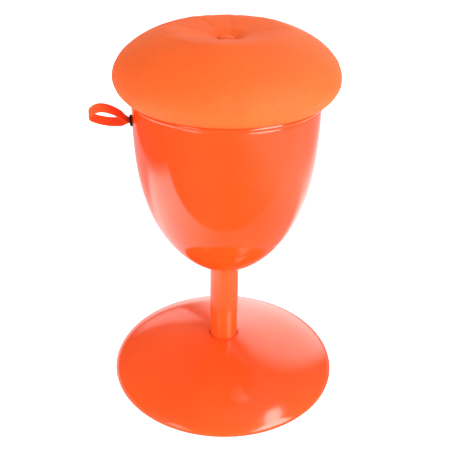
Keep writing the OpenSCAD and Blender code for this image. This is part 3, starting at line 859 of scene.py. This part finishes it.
def add_strap():
    """One length of webbing: round the lever's pin, out through the eyelet, round and back."""
    along = (LOOP_ROOT - STRAP_PIN).normalized()
    up = Vector((-along.z, 0, along.x))
    if up.z < 0:
        up = -up
    ply = up * (TAPE_T / 2 + 0.00005)
    bend = 0.0025 + 0.0006 + TAPE_T / 2
    points = [STRAP_PIN + along * 0.012 - ply] + [
        STRAP_PIN - along * math.sin(math.radians(t)) * bend - up * math.cos(math.radians(t)) * bend
        for t in (0, 30, 60, 90, 120, 150, 180)] + [STRAP_PIN + along * 0.012 + ply]
    tail = (LOOP_ROOT - STRAP_PIN).length
    for share in (0.35, 0.6, 0.85, 0.97):
        points.append(STRAP_PIN + along * tail * share + ply)
    loop = [(-0.1560, 0.4892), (-0.1640, 0.4968), (-0.1740, 0.5048), (-0.1840, 0.5101), (-0.1940, 0.5121),
            (-0.2022, 0.5098), (-0.2080, 0.5050), (-0.2112, 0.4996), (-0.2082, 0.4946), (-0.2012, 0.4903),
            (-0.1930, 0.4865), (-0.1820, 0.4834), (-0.1720, 0.4820), (-0.1625, 0.4822), (-0.1555, 0.4836)]
    points += [Vector((x, 0, z)) for x, z in loop]
    for share in (0.97, 0.85, 0.6, 0.35):
        points.append(STRAP_PIN + along * tail * share - ply)
    points.append(STRAP_PIN + along * 0.014 - ply * 3.2)
    path, length = smooth_path(points, 420)
    print("strap length", round(length, 4))
    tilt = math.radians(24)
    root_tilt = math.radians(42)
    across_count = 14
    bm = bmesh.new()
    layer = bm.verts.layers.float_vector.new("cloth")
    rows = []
    for i, p in enumerate(path):
        step = path[min(i + 1, len(path) - 1)] - path[max(i - 1, 0)]
        step.normalize()
        out = Vector((-step.z, 0, step.x))
        open_up = min(1.0, max(0.0, (LOOP_ROOT.x - p.x) / 0.013))
        open_up = open_up * open_up * (3 - 2 * open_up)
        width = 0.0108 + (0.0200 - 0.0108) * open_up
        cup = 0.0010 * (1 - open_up) * (1 if p.x < -0.12 else 0)
        twist = min(1.0, max(0.0, (-0.120 - p.x) / 0.030))
        lean = root_tilt * twist + (tilt - root_tilt) * open_up
        run = length * i / (len(path) - 1)
        row = []
        outline = []
        for k in range(across_count + 1):
            s = -1 + 2 * k / across_count
            outline.append((s, 1))
        for k in range(across_count, -1, -1):
            s = -1 + 2 * k / across_count
            outline.append((s, -1))
        for s, side in outline:
            edge = abs(s) ** 6
            half = TAPE_T / 2 * (1 - 0.45 * edge)
            serrate = 0.00016 * math.sin(run * TURN / 0.0016) * (abs(s) > 0.99)
            y = s * (width / 2 + serrate)
            offset = side * half + cup * s * s
            spot = p + out * offset
            lifted = Vector((spot.x, y, spot.z))
            pivot = Vector((spot.x, 0, LOOP_ROOT.z + max(spot.x - LOOP_ROOT.x, 0) * along.z / along.x))
            arm = lifted - pivot
            turned = Vector((0, arm.y * math.cos(lean) - arm.z * math.sin(lean),
                             arm.y * math.sin(lean) + arm.z * math.cos(lean)))
            vert = bm.verts.new(pivot + turned)
            vert[layer] = (s * width / 2, run, s)
            row.append(vert)
        rows.append(row)
    count = len(rows[0])
    for one, two in zip(rows, rows[1:]):
        for j in range(count):
            k = (j + 1) % count
            bm.faces.new((one[j], one[k], two[k], two[j]))
    bm.faces.new(rows[0])
    bm.faces.new(list(reversed(rows[-1])))
    strap = add_object("strap_webbing", bm, 60)
    finished(strap, "strap", "webbing", WEBBING, "pull_strap")


add_strap()


def add_eyelet():
    """Rubber eyelet in the bowl's wall: rounded flange outside, snap lip inside."""
    face = BOWL_R + 0.00015
    proud = -GROMMET_LOW.x
    inner = -GROMMET_HIGH.x
    hole = GROMMET_R - 0.0026
    barrel = GROMMET_R - 0.0015
    outline = rounded([
        (hole, inner, 0.0006), (barrel + 0.0010, inner, 0.0006), (barrel + 0.0010, inner + 0.0019, 0.0004),
        (barrel, inner + 0.0019, 0.0), (barrel, face, 0.0), (GROMMET_R, face, 0.0004),
        (GROMMET_R, face + 0.0017, 0.0013), (GROMMET_R - 0.0014, proud, 0.0012), (hole, proud, 0.0010)])
    bm = revolve(outline, 96)
    eyelet = add_object("eyelet", bm, 50)
    eyelet.data.transform(Matrix.Translation((0, 0, GROMMET_Z)) @ Matrix.Rotation(-math.pi / 2, 4, "Y"))
    finished(eyelet, "seat", "black_rubber", EYELET, "strap_grommet")


add_eyelet()

# Studio --------------------------------------------------------------------------------


def towards(azimuth, elevation, distance, origin):
    """The place seen from origin in a direction: azimuth from the camera, to its right."""
    a = math.radians(azimuth)
    e = math.radians(elevation)
    flat = FRONT * math.cos(a) + RIGHT * math.sin(a)
    return origin + (flat * math.cos(e) + Vector((0, 0, math.sin(e)))) * distance


def glow(name, strength):
    """A white emitter's material. A card may join nodes of its own to the strength."""
    f = Finish(name)
    f.shader.inputs["Base Color"].default_value = (0, 0, 0, 1)
    f.shader.inputs["Specular IOR Level"].default_value = 0
    f.shader.inputs["Emission Color"].default_value = (1, 1, 1, 1)
    f.shader.inputs["Emission Strength"].default_value = strength
    return f


def add_card(name, corners, finish):
    """A card that only glossy reflections see, as softboxes and a lit table show in a gloss."""
    bm = bmesh.new()
    bm.faces.new([bm.verts.new(corner) for corner in corners])
    return staged_card(name, bm, finish)


def add_soft_card(name, corners, core, strength):
    """A card whose glow fades out from its core, a share of its size, to its edge."""
    finish = glow(name, 0.0)
    level = finish.add("ShaderNodeAttribute", attribute_name="level").outputs["Fac"]
    smooth = finish.ranged(level, 0.0, 1.0, 0.0, strength)
    finish.join(smooth, finish.shader.inputs["Emission Strength"])
    bm = bmesh.new()
    layer = bm.verts.layers.float.new("level")
    middle = sum(corners, Vector()) / len(corners)
    outer = [bm.verts.new(corner) for corner in corners]
    inner = [bm.verts.new(middle.lerp(corner, core)) for corner in corners]
    for vert in inner:
        vert[layer] = 1.0
    bm.faces.new(inner)
    for i in range(len(corners)):
        k = (i + 1) % len(corners)
        bm.faces.new((outer[i], outer[k], inner[k], inner[i]))
    return staged_card(name, bm, finish)


def staged_card(name, bm, finish):
    mesh = bpy.data.meshes.new(name)
    bm.to_mesh(mesh)
    bm.free()
    card = bpy.data.objects.new(name, mesh)
    bpy.context.collection.objects.link(card)
    mesh.materials.append(finish.material)
    only_in_gloss(card)
    return card


def only_in_gloss(card):
    card.visible_camera = False
    card.visible_diffuse = False
    card.visible_shadow = False
    card.visible_transmission = False


def add_area(name, position, target, width, height, power):
    data = bpy.data.lights.new(name, "AREA")
    data.shape = "RECTANGLE"
    data.size = width
    data.size_y = height
    data.energy = power
    light = bpy.data.objects.new(name, data)
    bpy.context.collection.objects.link(light)
    light.matrix_world = aim(position, target)
    light.visible_camera = False
    light.visible_glossy = False


def across_and_back(f):
    """Metres to the camera's right and away from the camera, as a finish's sockets."""
    x, y = f.split()[:2]
    across = f.maths("ADD", f.maths("MULTIPLY", x, RIGHT.x), f.maths("MULTIPLY", y, RIGHT.y))
    back = f.maths("ADD", f.maths("MULTIPLY", x, -FRONT.x), f.maths("MULTIPLY", y, -FRONT.y))
    return across, back


def add_gloss_cards():
    # the room around: dark, a little less so to the right
    room = glow("dark_room", 0.0)
    across, back = across_and_back(room)
    room.join(room.ranged(across, -2.0, 7.0, 0.09, 0.20), room.shader.inputs["Emission Strength"])
    bm = bmesh.new()
    bmesh.ops.create_icosphere(bm, subdivisions=3, radius=8)
    staged_card("dark_room", bm, room)

    # the lit table: bright to the left, dim in the middle and evenly lit further back
    table = glow("lit_table", 0.0)
    across, back = across_and_back(table)
    left = table.maths(
        "MULTIPLY", table.ranged(across, -1.0, -0.75), table.ranged(across, -0.62, 0.05, 1.6, 0.0))
    near = table.maths("ADD", left, table.ranged(across, 0.15, 0.85, 0.30, 0.70))
    far = table.ranged(table.maths("ABSOLUTE", table.maths("SUBTRACT", across, 0.2)), 0.0, 0.9, 1.7, 0.5)
    share = table.ranged(back, 0.16, 0.34)
    near = table.maths("MULTIPLY", near, table.maths("SUBTRACT", 1.0, share))
    level = table.maths("MULTIPLY_ADD", far, share, near)
    table.join(level, table.shader.inputs["Emission Strength"])
    add_card("lit_table", [out_at(-1.0, 0.34, -0.002), out_at(1.5, 0.34, -0.002),
                           out_at(1.5, -1.6, -0.002), out_at(-1.0, -1.6, -0.002)], table)

    apron = glow("apron", 0.0)
    across, back = across_and_back(apron)
    apron.join(apron.ranged(across, 0.1, 1.3, 0.04, 0.75), apron.shader.inputs["Emission Strength"])
    add_card("apron", [out_at(-0.1, 1.6, -0.003), out_at(1.5, 1.6, -0.003),
                       out_at(1.5, 0.345, -0.003), out_at(-0.1, 0.345, -0.003)], apron)

    foot = out_at(0.09, 0.17, 0.01)
    behind_column = out_at(0.12, -0.08, 0.03)
    right = [(23, 1), (67, 1), (67, 44), (80, 52), (104, 60),
             (92, 68), (62, 62), (47, 46), (35, 30), (26, 14)]
    left = [(-53, 1), (-22, 1), (-27, 18), (-38, 34), (-52, 36)]
    behind = [(202, -30), (192, 24), (172, 52), (150, 64), (132, 57), (128, 40), (130, 10), (140, -30)]
    strip = [(-172, 0.5), (-145, 0.5), (-140, 12), (-160, 22), (-180, 14)]
    add_soft_card("softbox_right", [towards(a, e, 2.2, foot) for a, e in right], 0.88, 7.5)
    add_soft_card("softbox_left", [towards(a, e, 2.2, out_at(-0.1, 0.16, 0.01)) for a, e in left], 0.6, 3.0)
    add_soft_card("backdrop", [towards(a, e, 2.4, behind_column) for a, e in behind], 0.40, 1.9)
    add_soft_card("backdrop_left", [towards(a, e, 2.3, behind_column) for a, e in strip], 0.4, 1.0)


def add_studio():
    scene = bpy.context.scene
    scene.view_settings.view_transform = "Standard"
    world = bpy.data.worlds.new("studio")
    world.use_nodes = True
    world.node_tree.nodes["Background"].inputs["Color"].default_value = (1, 1, 1, 1)
    world.node_tree.nodes["Background"].inputs["Strength"].default_value = 0.5
    scene.world = world

    bm = bmesh.new()
    bmesh.ops.create_grid(bm, x_segments=1, y_segments=1, size=9)
    mesh = bpy.data.meshes.new("floor")
    bm.to_mesh(mesh)
    bm.free()
    floor = bpy.data.objects.new("floor", mesh)
    bpy.context.collection.objects.link(floor)
    f = Finish("pale_floor", Roughness=0.9)
    f.shader.inputs["Specular IOR Level"].default_value = 0
    f.shader.inputs["Base Color"].default_value = (0.9, 0.9, 0.9, 1)
    f.shader.inputs["Emission Color"].default_value = (1, 1, 1, 1)
    f.shader.inputs["Emission Strength"].default_value = 0.75
    mesh.materials.append(f.material)
    floor.visible_glossy = False

    add_gloss_cards()

    middle = Vector((0, 0, 0.35))
    add_area("key", out_at(1.3, 1.3, 0.8), middle, 0.9, 1.0, 26)
    add_area("fill", out_at(-1.3, 1.0, 0.7), middle, 0.9, 1.0, 9)
    add_area("top", out_at(0.2, -0.3, 2.2), middle, 1.4, 1.4, 13)
    add_area("back", out_at(-0.4, -1.5, 0.8), Vector((0, 0, 0)), 0.8, 0.8, 9)


add_studio()
